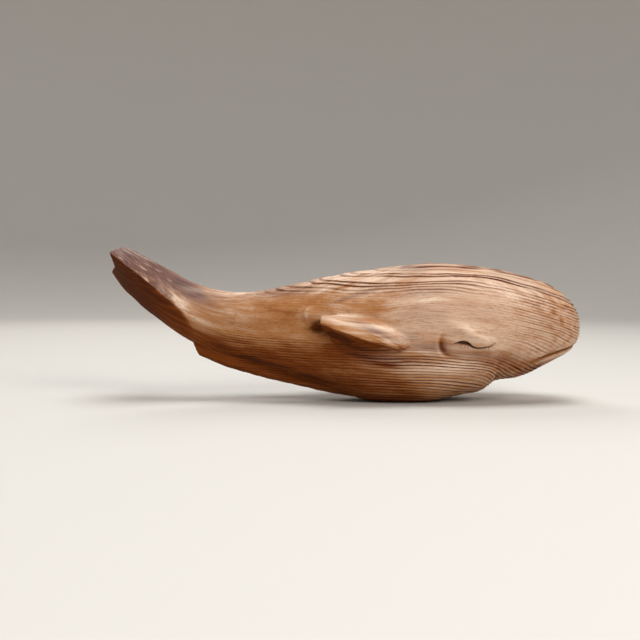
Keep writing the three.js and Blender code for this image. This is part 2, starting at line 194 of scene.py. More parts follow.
# The tree's heart lies over the back, and its rings grow narrower outwards: so many of them
# lie within each distance. Along the body they drift down towards the snout, at each place by
# so much in the low, middle and high wood. Behind the waist they rise with the tail, and over
# the cheek they swirl: place [x, z], reach and tilt, and by how much.
HEART_Y = -7.0
HEART_Z = 92.0
RING_DISTANCE = (0, 20, 30, 40, 50, 60, 80, 120)
RING_COUNT = (0, 5.2, 8.6, 13.4, 20.2, 28.0, 43.4, 73)
DRIFT_AT = (-90, -60, -36, -10, 15, 40, 60, 75, 85, 95, 105, 120, 135)
DRIFT_LOW = (-9.0, -6.5, -4.5, -2.2, 0.0, 1.2, 2.0, 3.0, 5.0, 8.2, 10.6, 12.4, 14.0)
DRIFT_MIDDLE = (-12.0, -8.0, -5.2, -3.0, -1.0, 0.0, 1.0, 2.0, 2.8, 3.8, 5.0, 7.2, 10.0)
DRIFT_HIGH = (-13.0, -10.0, -7.0, -4.5, -1.5, 0.0, 0.2, 1.0, 2.2, 4.2, 6.8, 11.5, 16.5)
DRIFT_LEVELS = (8, 40, 66)
WAIST_X = -62
WAIST_BEND = 0.0078
SWIRL = ((46.0, 54.0), (18.0, 9.0), 0.0)
SWIRL_DEPTH = 3.2

# Height of the rings' relief near the heart and far from it
RELIEF = (1.1, 0.32)
RELIEF_AT = (25, 60)

# Patches of colour on the sides: place [x, z], reach, tilt and strength
MAUVE_PATCHES = (
    ((-113.0, 78.5), (20.0, 7.0), -0.55, 1.7),
    ((-92.0, 66.0), (16.0, 5.4), -0.5, 1.6),
    ((-103.0, 64.0), (10.0, 5.0), -0.6, 1.2),
    ((-72.0, 59.5), (10.0, 2.5), -0.2, 0.5),
    ((-36.0, 62.0), (26.0, 3.0), 0.1, 0.5),
    ((8.0, 61.5), (15.0, 1.2), 0.33, 0.6),
    ((16.0, 41.4), (12.0, 1.9), -0.42, 0.75),
    ((34.0, 37.5), (5.0, 2.6), 0.0, 0.5),
    ((46.0, 33.0), (14.0, 2.2), 0.0, 0.6),
    ((78.0, 27.5), (24.0, 3.4), -0.12, 0.5),
    ((44.0, 62.0), (14.0, 2.0), 0.1, 0.4),
    ((36.0, 75.5), (14.0, 2.2), 0.0, 0.5),
    ((100.0, 66.0), (18.0, 2.5), -0.35, 0.4),
    ((76.0, 54.0), (24.0, 9.0), 0.0, 0.13),
    ((43.0, 51.0), (14.0, 7.0), 0.0, 0.27),
)
# Of these pale patches, those on the fin's top, its glint, the knob behind the fin tip, above the eye and
# along the lower flank are painted highlights; the rest are paler wood
CREAM_AND_HIGHLIGHT_PATCHES = (
    ((6.0, 71.0), (28.0, 4.6), 0.12, 1.0),
    ((66.0, 73.0), (26.0, 4.0), -0.05, 0.6),
    ((-4.0, 65.5), (18.0, 3.2), 0.12, 0.9),
    ((-22.0, 51.5), (4.5, 2.4), 0.4, 0.35),
    ((46.0, 58.5), (9.0, 2.2), 0.1, 0.9),
    ((-66.0, 62.0), (22.0, 1.8), -0.08, 0.65),
    ((-92.0, 55.5), (8.0, 5.0), -0.8, 0.9),
    ((-84.0, 49.0), (8.0, 5.0), -0.6, 0.5),
    ((2.0, 47.6), (12.0, 3.0), -0.15, 1.0),
    ((16.0, 44.8), (14.0, 1.4), -0.36, 0.85),
    ((68.0, 40.5), (12.0, 3.6), -0.3, 0.8),
    ((88.0, 66.5), (26.0, 7.0), -0.25, 0.9),
    ((-62.0, 52.0), (16.0, 8.0), -0.1, 0.25),
    ((50.0, 22.5), (24.0, 5.0), -0.05, 0.85),
    ((21.5, 37.4), (4.0, 0.9), -0.42, 1.0),
    ((44.0, 30.5), (14.0, 0.8), -0.05, 0.4),
)
# Of these deep patches, those below the fin, in the hollow behind its tip and under it are painted shade;
# the rest are deeper wood
DEEP_AND_SHADE_PATCHES = (
    ((2.0, 29.5), (23.0, 5.0), -0.15, 0.5),
    ((-14.0, 42.5), (7.0, 4.0), 0.0, 0.7),
    ((-8.0, 36.5), (13.0, 5.5), -0.2, 0.45),
    ((-5.0, 38.6), (8.0, 2.6), -0.45, 0.85),
    ((122.0, 46.0), (15.0, 17.0), 0.0, 0.06),
    ((-36.0, 49.0), (18.0, 9.0), 0.0, 0.22),
    ((86.0, 24.0), (18.0, 5.0), -0.2, 0.52),
    ((42.0, 34.0), (12.0, 4.0), 0.0, 0.16),
    ((108.0, 20.5), (16.0, 2.8), 0.42, 0.6),
    ((16.0, 53.0), (20.0, 5.0), 0.1, 0.22),
    ((-16.0, 58.0), (16.0, 6.0), 0.1, 0.15),
)

# The wood is deeper in colour below this height, partly its own colour and partly painted shade on the
# lower body, and this deep on the flukes' cut end
TONE_AT = (-90, -60, -30, 0, 20, 35, 50, 80, 100, 130)
TONE_LEVEL = (52, 42, 39, 35, 30, 20, 9, 9, 20, 30)

END_FACE_TONE = 1.25

# Side of the mesh's first squares, and how many triangles are kept
VOXEL = 0.37
TRIANGLE_LIMIT = 196000


def curve_through(knots, values):
    """A smooth curve through values at knots, as a function of the knot coordinate."""
    knots = np.asarray(knots, float)
    values = np.asarray(values, float)
    spans = np.diff(knots)
    slopes = np.diff(values) / spans
    inner = (slopes[:-1] * spans[1:] + slopes[1:] * spans[:-1]) / (spans[:-1] + spans[1:])
    tangents = np.concatenate([slopes[:1], inner, slopes[-1:]])

    def curve(at):
        at = np.asarray(at, float)
        i = np.clip(np.searchsorted(knots, at) - 1, 0, len(spans) - 1)
        f = (at - knots[i]) / spans[i]
        rest = 1 - f
        start = rest * rest * ((1 + 2 * f) * values[i] + f * spans[i] * tangents[i])
        end = f * f * ((3 - 2 * f) * values[i + 1] - rest * spans[i] * tangents[i + 1])
        return start + end

    return curve


def curves_through(points):
    """One curve for each coordinate of the points, on knots from 0 to 1."""
    places = np.linspace(0, 1, len(points))
    return [curve_through(places, axis) for axis in np.transpose(points)]


def fade(start, end, value):
    """From 0 at start to 1 at end, smoothly."""
    f = np.clip((value - start) / (end - start), 0, 1)
    return f * f * (3 - 2 * f)


def bell(distance):
    """1 at no distance, falling off smoothly to 0.37 at 1 and 0.02 at 2."""
    return np.exp(-np.square(distance))


def mix(a, b, share):
    return a + (b - a) * share


def spot(x, z, place, reach, tilt):
    """A soft spot seen from the side: 1 at its place, falling off over its reach."""
    dx = x - place[0]
    dz = z - place[1] - tilt * dx
    return bell(np.hypot(dx / reach[0], dz / reach[1]))


def noise(points, size, seed):
    """Smooth random values between -1 and 1, with features of about the size on each axis."""
    cells = points / np.asarray(size, float)
    base = np.floor(cells).astype(np.int64)
    part = cells - base
    part = part * part * (3 - 2 * part)
    total = np.zeros(len(points))
    for corner in np.ndindex(2, 2, 2):
        cell = base + corner
        key = cell[:, 0] * 73856093 ^ cell[:, 1] * 19349663 ^ cell[:, 2] * 83492791 ^ seed * 2654435
        key = (key ^ (key >> 13)) * 1274126177
        value = ((key ^ (key >> 16)) & 0xFFFF) / 32767.5 - 1
        total += np.prod(np.where(corner, part, 1 - part), axis=1) * value
    return total


# The body's curves, on the running length along it
BACK = np.array([s[0] for s in STATIONS])
BELLY = np.array([s[1] for s in STATIONS])
STEPS = sum(np.linalg.norm(np.diff(line, axis=0), axis=1) for line in (BACK, BELLY)) / 2
RUNS = np.concatenate([[0], np.cumsum(STEPS)])
back_x, back_z = (curve_through(RUNS, BACK[:, axis]) for axis in (0, 1))
belly_x, belly_z = (curve_through(RUNS, BELLY[:, axis]) for axis in (0, 1))
half_width, widest, above, below = (
    curve_through(RUNS, [s[i] for s in STATIONS]) for i in (2, 3, 4, 5)
)
spine_half = curve_through(SPINE_RUNS, SPINE_HALF_WIDTH)


def swelling(x, z):
    """Height of the brow and of the rim behind the fin tip, at a place seen from the side."""
    return sum(height * spot(x, z, *where) for *where, height in (BROW, RIM))


def skin(run, angle):
    """Points of the body's skin; the angle goes from the far side over the back."""
    c, s = np.cos(angle), np.sin(angle)
    power = 2 / np.where(s >= 0, above(run), below(run))
    share = np.abs(c) ** power
    reach = np.abs(s) ** power
    level = widest(run)
    up = np.where(s >= 0, level + (1 - level) * reach, level * (1 - reach))
    across = half_width(run) * share
    x = mix(belly_x(run), back_x(run), up)
    z = mix(belly_z(run), back_z(run), up)
    set_back = np.where(s >= 0, *LOBE_HOLLOW) * np.sin(np.pi * share**0.9) + TIP_SET_BACK * share
    set_back = set_back * (1 - fade(0, FLUKE_LENGTH, run))
    x = x + set_back * math.cos(FLUKE_PITCH)
    z = z - set_back * math.sin(FLUKE_PITCH)
    spine = spine_half(np.clip(run, 0, SPINE_RUNS[-1]))
    groove = SPINE_GROOVE_DEPTH * bell((across - spine) / SPINE_GROOVE_WIDTH)
    groove = groove * fade(*SPINE_START, run) * (1 - fade(*SPINE_FADE, run))
    z = z - np.where(s > 0, groove * np.minimum(1, 3 * reach), 0)
    y = np.sign(c) * (across + swelling(x, z) * share)
    return np.stack([x, y, z], axis=-1)


def closed_mesh(name, sections):
    """A Blender object skinned over closed sections, capped at both ends; millimetres."""
    count, around = sections.shape[:2]
    mesh = bpy.data.meshes.new(name)
    verts = sections.reshape(-1, 3)
    ends = [sections[0].mean(axis=0), sections[-1].mean(axis=0)]
    ring = np.arange(around)
    after = np.roll(ring, -1)
    faces = []
    for i in range(count - 1):
        low, high = i * around, (i + 1) * around
        faces.extend(zip(low + ring, low + after, high + after, high + ring))
    last = (count - 1) * around
    faces.extend(zip(ring, np.full(around, len(verts)), after))
    faces.extend(zip(last + after, np.full(around, len(verts) + 1), last + ring))
    faces = [tuple(int(v) for v in face) for face in faces]
    mesh.from_pydata(np.vstack([verts, ends]).tolist(), [], faces)
    tidy = bmesh.new()
    tidy.from_mesh(mesh)
    bmesh.ops.recalc_face_normals(tidy, faces=tidy.faces)
    tidy.to_mesh(mesh)
    tidy.free()
    piece = bpy.data.objects.new(name, mesh)
    bpy.context.scene.collection.objects.link(piece)
    return piece


def body():
    """The body from the flukes' cut end to just short of the snout's last point."""
    runs = np.linspace(0, RUNS[-1] - 0.15, 360)[:, None]
    angles = np.linspace(0, 2 * np.pi, 224, endpoint=False)[None, :]
    return closed_mesh("body", skin(runs, angles))


def keel():
    """The keel, a rounded bar from its blunt rear end to where it runs out under the belly."""
    place = np.linspace(0, 1, 90)[:, None]
    angle = np.linspace(0, 2 * np.pi, 48, endpoint=False)[None, :]
    top_x, top_z = (c(place) for c in curves_through(KEEL_TOP))
    foot_x, foot_z = (c(place) for c in curves_through(KEEL_FOOT))
    half = curve_through(np.linspace(0, 1, len(KEEL_HALF_WIDTH)), KEEL_HALF_WIDTH)(place)
    up = (1 + np.sign(np.sin(angle)) * np.abs(np.sin(angle)) ** 0.8) / 2
    y = half * np.sign(np.cos(angle)) * np.abs(np.cos(angle)) ** 0.7
    sections = np.stack([mix(foot_x, top_x, up), y, mix(foot_z, top_z, up)], axis=-1)
    return closed_mesh("keel", sections)


def fin(side):
    """The side fin: a bowed upper face and a hollow underside between its four lines."""
    place = np.linspace(0, 1, 70)
    top, edge, under, inside = (
        np.stack([c(place) for c in curves_through(points)], axis=-1)
        for points in (FIN_TOP, FIN_EDGE, FIN_UNDER, FIN_INSIDE)
    )
    size = np.minimum(1, np.linalg.norm(top - edge, axis=1) / 8)[:, None, None]
    across = np.linspace(0, 1, 18)[None, :, None]
    bow = 4 * across * (1 - across) * size
    lower = mix(under[:, None], edge[:, None], across) + FIN_UNDER_HOLLOW * bow * (0, -1, 1)
    upper = mix(edge[:, None], top[:, None], across) + FIN_TOP_BULGE * bow * (0, 1, 1)
    lower[:, -1] = mix(edge, under, 0.04)
    sections = np.concatenate([inside[:, None], lower, upper], axis=1)
    return closed_mesh("fin", sections * (1, side, 1))


def hollow(side):
    """A ball that cuts the hollow behind a fin's tip."""
    turn = np.linspace(0.03, np.pi - 0.03, 30)[:, None]
    angle = np.linspace(0, 2 * np.pi, 48, endpoint=False)[None, :]
    axes = [np.cos(turn) + 0 * angle, np.sin(turn) * np.cos(angle), np.sin(turn) * np.sin(angle)]
    ball = np.stack(axes, axis=-1)
    return closed_mesh("hollow", (ball * HOLLOW_RADII + HOLLOW_AT) * (1, side, 1))


def evaluated(piece):
    """The piece's mesh with its modifiers applied."""
    graph = bpy.context.evaluated_depsgraph_get()
    return bpy.data.meshes.new_from_object(piece.evaluated_get(graph))


def rough_block():
    """Body, keel and fins as one skin of even small squares, with the hollows cut."""
    block = body()
    tools = [(keel(), "UNION")]
    tools += [(hollow(side), "DIFFERENCE") for side in (-1, 1)]
    tools += [(fin(side), "UNION") for side in (-1, 1)]
    for tool, operation in tools:
        cut = block.modifiers.new(tool.name, "BOOLEAN")
        cut.solver = "MANIFOLD"
        cut.operation = operation
        cut.object = tool
    remesh = block.modifiers.new("remesh", "REMESH")
    remesh.mode = "VOXEL"
    remesh.voxel_size = VOXEL
    mesh = evaluated(block)
    for piece in [block] + [tool for tool, _ in tools]:
        bpy.data.objects.remove(piece)
    return mesh


def on_flanks(p, x_range, z_range, least_y):
    """True for the points of both sides within ranges of x and z, away from the middle."""
    x, y, z = p.T
    within = (x > x_range[0]) & (x < x_range[1]) & (z > z_range[0]) & (z < z_range[1])
    return within & (np.abs(y) > least_y)


def refine(mesh, area):
    """Halves the squares within an area of the flanks."""
    fine = bmesh.new()
    fine.from_mesh(mesh)
    fine.edges.ensure_lookup_table()
    middles = np.array([(e.verts[0].co + e.verts[1].co) / 2 for e in fine.edges])
    chosen = [fine.edges[i] for i in np.flatnonzero(on_flanks(middles, *area))]
    bmesh.ops.subdivide_edges(fine, edges=chosen, cuts=1, use_grid_fill=True)
    fine.to_mesh(mesh)
    fine.free()


def vertices(mesh):
    flat = np.empty(3 * len(mesh.vertices))
    mesh.vertices.foreach_get("co", flat)
    return flat.reshape(-1, 3)


def normals(mesh):
    flat = np.empty(3 * len(mesh.vertices))
    mesh.vertex_normals.foreach_get("vector", flat)
    return flat.reshape(-1, 3)


def soften(mesh, weight, rounds):
    """Moves each point towards the middle of its neighbours by its weight, so many times."""
    p = vertices(mesh)
    flat = np.empty(2 * len(mesh.edges), dtype=np.int32)
    mesh.edges.foreach_get("vertices", flat)
    a, b = flat.reshape(-1, 2).T
    count = len(p)
    neighbours = np.bincount(a, minlength=count) + np.bincount(b, minlength=count)
    share = weight(p) / neighbours
    for _ in range(rounds):
        pull = [
            np.bincount(a, p[b, axis] - p[a, axis], count) + np.bincount(b, p[a, axis] - p[b, axis], count)
            for axis in range(3)
        ]
        p = p + np.stack(pull, axis=1) * share[:, None]
    mesh.vertices.foreach_set("co", p.ravel())
    mesh.update()


def around_fins(p):
    """How much to soften the fins and the joint between them and the body."""
    x, y, z = p.T
    along = fade(-26, -20, x) * (1 - fade(38, 44, x))
    return 0.6 * along * fade(21, 25, z) * (1 - fade(52, 56, z)) * fade(18, 22, np.abs(y))


def at_flukes_end(p):
    """How much to soften the flukes' cut end and tips."""
    return 0.6 * fade(-112, -120, p[:, 0])


def from_line(x, z, points):
    """Distance from a smooth line, place along it from 0 to 1, and which side of it."""
    place = np.linspace(0, 1, 60)
    line_x, line_z = (c(place) for c in curves_through(points))
    nearest = np.full(len(x), np.inf)
    along = np.zeros(len(x))
    side = np.zeros(len(x))
    for i in range(len(place) - 1):
        dx = line_x[i + 1] - line_x[i]
        dz = line_z[i + 1] - line_z[i]
        f = ((x - line_x[i]) * dx + (z - line_z[i]) * dz) / (dx * dx + dz * dz)
        f = np.clip(f, 0, 1)
        gap_x = x - line_x[i] - f * dx
        gap_z = z - line_z[i] - f * dz
        distance = np.hypot(gap_x, gap_z)
        closer = distance < nearest
        nearest = np.where(closer, distance, nearest)
        along = np.where(closer, mix(place[i], place[i + 1], f), along)
        side = np.where(closer, np.sign(dx * gap_z - dz * gap_x), side)
    return nearest, along, side


def along_curve(values, place):
    """Values spread evenly along a line, read at places from 0 to 1."""
    return curve_through(np.linspace(0, 1, len(values)), values)(place)


def along_knots(knots, values, at):
    """Values at knots, read anywhere; beyond the last knots they stay the same."""
    return curve_through(knots, values)(np.clip(at, knots[0], knots[-1]))


def from_heart(p):
    """Distance from the heart of the tree, warped as the rings of the carving are."""
    x, y, z = p.T
    z = z - WAIST_BEND * np.maximum(0, WAIST_X - x) ** 2
    low, middle, high = (
        along_knots(DRIFT_AT, drift, x) for drift in (DRIFT_LOW, DRIFT_MIDDLE, DRIFT_HIGH)
    )
    drift = mix(low, middle, fade(DRIFT_LEVELS[0], DRIFT_LEVELS[1], z))
    drift = mix(drift, high, fade(DRIFT_LEVELS[1], DRIFT_LEVELS[2], z))
    r = np.hypot(y - HEART_Y, z - HEART_Z) - drift
    r = r + SWIRL_DEPTH * spot(x, z, *SWIRL)
    r = r + 0.5 * noise(p, (34, 9, 9), 11) + 0.12 * noise(p, (9, 4, 4), 12)
    waves = 1.9 * noise(p, (26, 12, 7), 13) + 0.6 * noise(p, (10, 6, 4), 14)
    r = r + waves * fade(54, 66, z)
    return r


def ring_number(p, r):
    """How many rings lie within the distance r; in the high wood they are less even."""
    uneven = 0.38 * noise(np.stack([r, 0 * r, 0 * r], axis=1), (3.1, 1, 1), 15)
    return along_knots(RING_DISTANCE, RING_COUNT, r) + uneven * fade(48, 62, p[:, 2])


def ring_height(phase):
    """Profile of one ring: worn early wood, then the hard late wood, which ends sharply."""
    f = phase - np.floor(phase)
    return fade(0.25, 0.78, f) * (1 - fade(0.86, 1.0, f))


class Marks:
    """What the carving does to each point: how far out it moves it, how much painted shade its cut gets,
    how stained it is with painted shade and highlights added, and how much the rings are smoothed there."""

    def __init__(self, p):
        self.height, self.dirt, self.stain, self.smooth = np.zeros((4, len(p)))


def carve_eyes(marks, p):
    """Eyes, brow and the crease behind them, on both sides of the head."""
    head = np.flatnonzero(on_flanks(p, *EYE_AREA))
    x, z = p[head, 0], p[head, 2]
    slit_x = np.clip(x, SLIT_TOP[0][0], SLIT_TOP[-1][0])
    roof = curve_through(*np.transpose(SLIT_TOP))(slit_x)
    foot = curve_through(*np.transpose(SLIT_FOOT))(slit_x)
    inside = np.minimum(roof - z, z - foot) - np.abs(x - slit_x)
    slit = fade(-0.12, 0.4, inside)
    up = np.clip((z - foot) / np.maximum(roof - foot, 0.2), 0, 1)
    gap, place, _ = from_line(x, z, SMILE)
    smile = np.clip(1.15 - gap / (0.5 * along_curve(SMILE_WIDTH, place)), 0, 1)
    gap, place, side = from_line(x, z, CREASE)
    depth = np.clip(along_curve(CREASE_DEPTH, place), 0, 2)
    sunk = np.where(side > 0, bell(gap / 5.0), bell(gap / 1.3)) * depth
    rim = np.where(side < 0, bell((gap - 2.8) / 1.6), 0) * depth
    shade = bell(gap / np.where(side > 0, 1.9, 0.9)) * depth
    gap, place, _ = from_line(x, z, BROW_LINE)
    brow = bell(gap / 1.6) * np.sin(np.pi * np.clip(place, 0, 1))
    gap, place, side = from_line(x, z, LID)
    lid = bell(gap / 3.4) * np.where(side > 0, 0.55, -0.35)
    lid = lid * np.sin(np.pi * np.clip(place, 0, 1)) ** 0.5
    cut = np.maximum(SLIT_DEPTH * slit, SMILE_DEPTH * smile)
    marks.height[head] += 0.28 * rim + lid - cut - sunk - BROW_LINE_DEPTH * brow
    # The slit, the smile and the crease are darkened with painted shade, and the crease and the brow's
    # groove get more painted shade below
    marks.dirt[head] += np.maximum(slit * mix(0.55, 0.97, up), smile) + 0.15 * shade
    marks.stain[head] += 0.5 * shade * depth + 0.25 * brow
    for (top_x, top_z), length, strength in STROKES:
        down = np.clip(top_z - z, 0, length)
        off = np.hypot(x - top_x + STROKE_LEAN * down, z - top_z + down)
        stroke = strength * bell(off / STROKE_WIDTH) * (1 - 0.7 * down / length)
        marks.height[head] -= STROKE_DEPTH * stroke
        # The strokes are darkened with painted shade
        marks.dirt[head] = np.maximum(marks.dirt[head], 0.8 * stroke)


def carve_mouth(marks, p):
    """The mouth's groove, with a lip left standing below it."""
    x, _, z = p.T
    rise = np.array(MOUTH_FRONT) - MOUTH_CORNER
    rise = rise / np.hypot(*rise)
    ahead = x - MOUTH_CORNER[0]
    off = (z - MOUTH_CORNER[1]) * rise[0] - ahead * rise[1]
    cut = bell(off / 0.62) * fade(-1, 10, ahead)
    lip = bell((off + 1.7) / 0.9) * fade(2, 14, ahead)
    marks.height += LIP_HEIGHT * lip - mix(*MOUTH_DEPTH, fade(20, 30, ahead)) * cut
    # Painted shade in the groove and along it, and a painted highlight on the lip below
    marks.dirt += 0.9 * cut * fade(-1, 10, ahead)
    marks.stain += (0.5 * bell(off / 1.5) - 0.7 * lip) * fade(-4, 4, ahead)
    marks.smooth += bell(off / 3.2) * fade(2, 14, ahead)


def carve_throat(marks, p):
    """The fold where the throat meets the jaw."""
    x, _, z = p.T
    run = np.interp(THROAT_FOLD, np.arange(len(RUNS)), RUNS)
    lean = math.atan2(back_x(run) - belly_x(run), back_z(run) - belly_z(run))
    off = (x - belly_x(run)) * math.cos(lean) - (z - belly_z(run)) * math.sin(lean)
    fold = bell(off / 0.75) * (1 - fade(12, 19, z)) * (x > 70)
    marks.height -= THROAT_FOLD_DEPTH * fold
    # Painted shade in the fold
    marks.dirt += 0.35 * fold
    marks.stain += 0.4 * fold


def carve_facets(marks, p, n):
    """Long shallow cuts of the knife, crosser on the upper face of the tail."""
    knife = noise(p, (26, 7, 6), 21) * 0.28 + noise(p, (11, 3.2, 3), 22) * 0.1
    tail = fade(-78, -92, p[:, 0]) * fade(0.1, 0.4, n[:, 2])
    knife += noise(along_tail(p), (7, 1.7, 1.3), 23) * 0.24 * tail
    marks.height += knife * fade(0.5, 6, p[:, 2])


def carve_knob_and_seam(marks, p):
    """The knob's edge stands up a little behind the fin tip and gets a painted highlight; painted shade
    runs along the keel's seam.
    """
    x, y, z = p.T
    gap, place, side = from_line(x, z, KNOB)
    edge = np.sin(np.pi * np.clip(place, 0, 1)) ** 0.5 * (np.abs(y) > 15)
    groove = bell((gap + 1.6 * side) / 1.3)
    marks.height += edge * (KNOB_EDGE_HEIGHT * bell((gap - 0.8 * side) / 1.3) - KNOB_GROOVE_DEPTH * groove)
    marks.stain -= 0.2 * edge * bell((gap - 0.8 * side) / 1.2)
    gap, place, _ = from_line(x, z, SEAM)
    marks.stain += 0.3 * bell(gap / 2.2) * np.sin(np.pi * np.clip(place, 0, 1)) ** 0.5


def carve_end_grain(marks, p):
    """Small soft pits where the snout cuts across the grain."""
    sheared = p + (0, 0, 0.4) * p[:, :1]
    pits = fade(0.1, 0.6, noise(sheared, (4.6, 3.4, 1.5), 27)) * spot(p[:, 0], p[:, 2], *END_GRAIN)
    marks.height -= END_GRAIN_DEPTH * pits
    marks.stain += 0.42 * pits


def carve_fins(marks, p):
    """Painted shade in the scoop behind the fin tip, and the splintered front of the fin's edge."""
    x, y, z = p.T
    marks.dirt += 0.45 * spot(x, z, *SCOOP_SHADE) * fade(18, 24, np.abs(y))
    splinter = spot(x, z, *SPLINTERED) * fade(27, 31, np.abs(y))
    chips = noise(p + (0, 0, 0.45) * p[:, :1], (5.5, 1.0, 0.9), 24)
    marks.height += splinter * (chips * 0.4 + noise(p, (6, 2.2, 2.0), 25) * 0.3)
    marks.stain += splinter * fade(0.1, -0.5, chips) * 0.8


def carving(p, n):
    marks = Marks(p)
    carve_eyes(marks, p)
    carve_mouth(marks, p)
    carve_throat(marks, p)
    carve_facets(marks, p, n)
    carve_knob_and_seam(marks, p)
    carve_end_grain(marks, p)
    carve_fins(marks, p)
    marks.dirt = np.clip(marks.dirt, 0, 1)
    return marks


def ring_strength(p):
    """How strongly the rings stand out: on the back, the snout and the lower flank most."""
    x, y, z = p.T
    low = 1 - fade(25, 34, z + 0.12 * (x - 40))
    high = fade(59, 66, z) * (1 + 0.35 * noise(p, (16, 9, 3), 28))
    snout = fade(78, 108, x)
    tail = fade(-60, -95, x)
    crest = fade(14, 4, np.abs(y)) * fade(70, 100, x)
    low = low * mix(0.4, 1.25, fade(-5, 45, x))
    flank = np.maximum(np.maximum(low, 0.48 * high), np.maximum(0.42 * snout, 0.46 * crest))
    return mix(0.08 + 0.92 * flank, 0.12, tail)


def patches(p, places):
    """The strongest of the soft patches at each point, 1 at most."""
    total = np.zeros(len(p))
    for *where, strength in places:
        total = np.maximum(total, strength * spot(p[:, 0], p[:, 2], *where))
    return np.minimum(total, 1)


def tail_under_shade(p, n):
    """Painted shade on the downward faces of the tail, below its side edges."""
    edge = mix(0.1, -0.35, fade(-104, -80, p[:, 0]))
    return fade(-66, -92, p[:, 0]) * fade(edge + 0.12, edge - 0.18, n[:, 2])


def end_face(p, n):
    """The cut end of the flukes."""
    return fade(-0.6, -0.85, n[:, 0]) * fade(-112, -116, p[:, 0])


def along_tail(p):
    """The points in a frame whose first axis runs down the tail."""
    x, y, z = p.T
    return np.stack([0.89 * x - 0.45 * z, y, 0.45 * x + 0.89 * z], axis=1)


def glint_flecks(p):
    """Light specks on the flukes: painted highlights on the crinkled top, against the stained wood."""
    glint = fade(0.38, 0.75, noise(along_tail(p), (7, 1.3, 1.2), 26))
    return 0.5 * glint * fade(-84, -98, p[:, 0])


def tone_and_shade(p, n):
    """How deep the wood's colour is, from pale head to dark belly, keel and tail, with painted shade on
    the lower body, under the fin and under the tail.
    """
    x, _, z = p.T
    level = along_knots(TONE_AT, TONE_LEVEL, x)
    # Below the level the wood darkens, partly its own colour and partly painted shade on the lower body
    under = fade(level, level - 15, z)
    rear = fade(45, -35, x)
    total = 0.06 + 0.34 * rear + 0.56 * under
    # Painted shade on the fin's downward faces and the body under it
    fin = spot(x, z, *FIN_UNDER_SHADE) * fade(0.25, -0.25, n[:, 2])
    # Painted shade on the tail's downward faces
    tail = mix(1.35, 1.1, fade(-115, -88, x)) * tail_under_shade(p, n)
    total = np.maximum(total, np.maximum(tail, 1.1 * fin))
    return mix(total + patches(p, DEEP_AND_SHADE_PATCHES), END_FACE_TONE, end_face(p, n))


def store(mesh, name, values):
    """Keeps values for the material, one number or one vector for each point."""
    kind, field = ("FLOAT_VECTOR", "vector") if values.ndim == 2 else ("FLOAT", "value")
    layer = mesh.attributes.new(name, kind, "POINT")
    layer.data.foreach_set(field, values.astype(np.float32).ravel())


def carved_mesh():
    """The block, softened, refined at the eyes and carved, with what the material reads."""
    mesh = rough_block()
    soften(mesh, lambda p: np.full(len(p), 0.5), 2)
    soften(mesh, around_fins, 15)
    soften(mesh, at_flukes_end, 10)
    refine(mesh, FINE_AREA)
    p, n = vertices(mesh), normals(mesh)
    x, y, z = p.T
    centre = (x.min() + x.max()) / 2
    r = from_heart(p)
    rings = ring_number(p, r)
    marks = carving(p, n)
    strength = ring_strength(p) * (1 - 0.8 * marks.smooth)

    # The rings' relief, lower under the chin and in the cuts, and none on the ground
    relief = (ring_height(rings) - 0.4) * mix(*RELIEF, fade(*RELIEF_AT, r)) * strength
    relief = relief * (1 - 0.75 * fade(86, 94, x) * fade(36, 28, z))
    height = marks.height + relief * (1 - marks.dirt) * fade(0.0, 1.5, z)
    moved = p + n * height[:, None]
    moved[:, 2] = np.maximum(moved[:, 2], 0)
    moved[:, 0] -= centre
    mesh.vertices.foreach_set("co", (moved * MM).ravel())

    # Along the grain, round the heart, and ring by ring outwards
    around = np.arctan2(y - HEART_Y, HEART_Z - z) * 60
    store(mesh, "grain", np.stack([x, around, rings], axis=1))
    bare = (1 - tail_under_shade(p, n)) * (1 - end_face(p, n))
    store(mesh, "rings", strength)
    store(mesh, "dirt", marks.dirt)
    store(mesh, "mauve", patches(p, MAUVE_PATCHES) * bare)
    store(mesh, "cream_and_highlight", np.maximum(patches(p, CREAM_AND_HIGHLIGHT_PATCHES), glint_flecks(p)) * bare)
    store(mesh, "tone_and_shade", tone_and_shade(p, n) + marks.stain)
    mesh.update()
    return mesh


def carved_whale():
    """The finished piece, thinned to the number of triangles that a piece may have."""
    mesh = carved_mesh()
    rough = bpy.data.objects.new("carved", mesh)
    bpy.context.scene.collection.objects.link(rough)
    triangles = sum(len(f.vertices) - 2 for f in mesh.polygons)
    thin = rough.modifiers.new("thin", "DECIMATE")
    thin.ratio = min(1, TRIANGLE_LIMIT / triangles)
    final = evaluated(rough)
    bpy.data.objects.remove(rough)
    final.name = "carved_whale"
    final.shade_smooth()
    piece = bpy.data.objects.new("carved_whale", final)
    bpy.context.scene.collection.objects.link(piece)
    return piece


def camera():
    """A camera at the photograph's angle, just above the carving and a little below level."""
    data = bpy.data.cameras.new("camera")
    data.sensor_width = 36
    data.lens = 50.625
    view = bpy.data.objects.new("camera", data)
    view.location = (-0.01445, -0.517, 0.0663)
    view.rotation_euler = Euler((math.radians(90 - 2.23), 0, 0))
    bpy.context.scene.collection.objects.link(view)
    bpy.context.scene.camera = view


